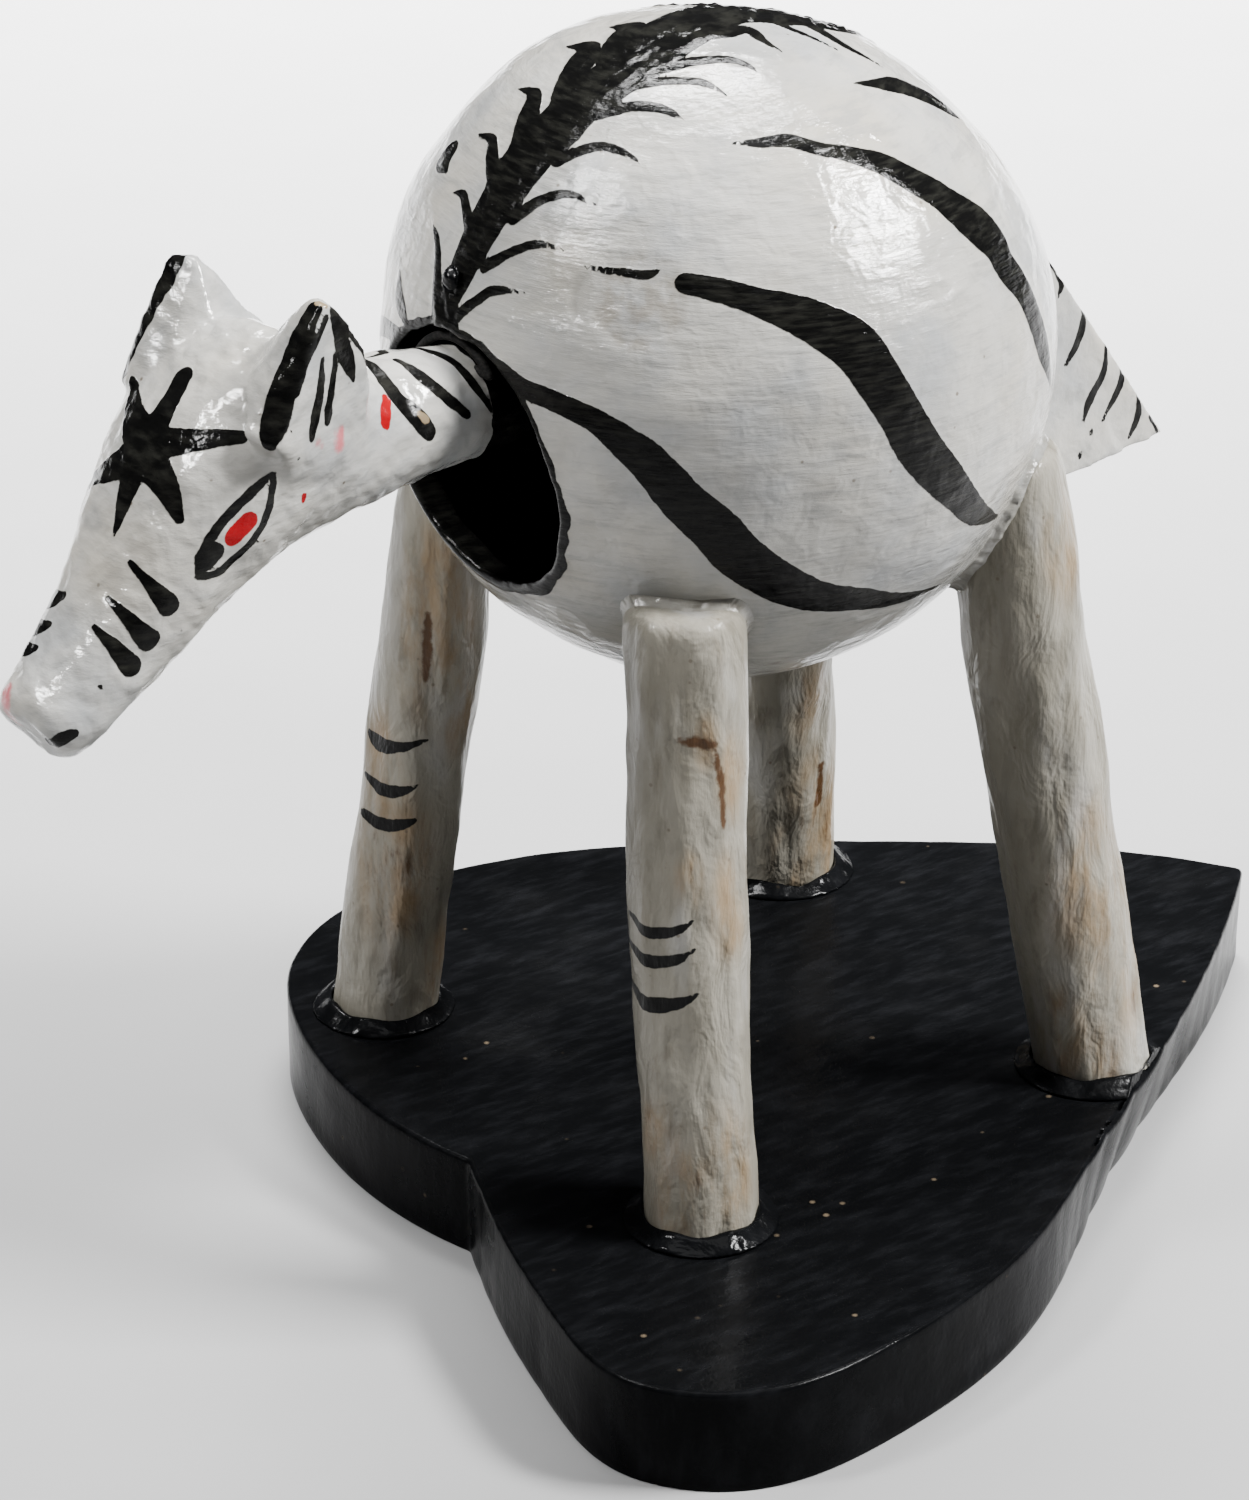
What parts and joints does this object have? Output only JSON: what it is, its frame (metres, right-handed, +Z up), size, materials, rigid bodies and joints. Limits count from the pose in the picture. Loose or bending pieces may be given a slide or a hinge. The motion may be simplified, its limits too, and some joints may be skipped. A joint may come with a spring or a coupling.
{
  "type": "nodding gourd animal figure",
  "caption": "Striped animal figure with a round hollow gourd body on stick legs, a heart-shaped board, and a carved head that nods and sways on a thread.",
  "frame": {"origin": "on the board's flat underside, straight below the middle of the round body", "axes": "+Z up, the animal looks along -Y, its left side is +X"},
  "size_m": [0.1272, 0.185, 0.1478],
  "materials": {
    "board_paint": "gloss",
    "body_paint": "gloss",
    "leg_paint": "satin",
    "head_paint": "gloss",
    "tail_paint": "gloss",
    "putty": "satin",
    "glue": "gloss",
    "nail_steel": "satin",
    "thread": "matte",
    "clay": "matte"
  },
  "bodies": {
    "stand": {"base_board": "board_paint", "body_shell": "body_paint", "leg_nails": "nail_steel", "tail": "tail_paint", "tail_putty": "putty", "thread_knot": "thread", "front_left_leg": "leg_paint", "front_left_foot_glue": "glue", "front_left_leg_putty": "putty", "front_right_leg": "leg_paint", "front_right_foot_glue": "glue", "front_right_leg_putty": "putty", "rear_left_leg": "leg_paint", "rear_left_foot_glue": "glue", "rear_left_leg_putty": "putty", "rear_right_leg": "leg_paint", "rear_right_foot_glue": "glue", "rear_right_leg_putty": "putty"},
    "thread": {"neck_thread": "thread"},
    "head": {"head": "head_paint", "counterweight": "clay"}
  },
  "joints": [
    {"name": "neck_sway", "type": "hinge", "parent": "stand", "child": "thread", "pos_m": [0, -0.037, 0.123], "axis": [0, 0, 1], "range_deg": [-15, 15]},
    {"name": "neck_nod", "type": "hinge", "parent": "thread", "child": "head", "pos_m": [0, -0.037, 0.1132], "axis": [0.9962, 0.0872, 0], "range_deg": [-14, 18]}
  ]
}
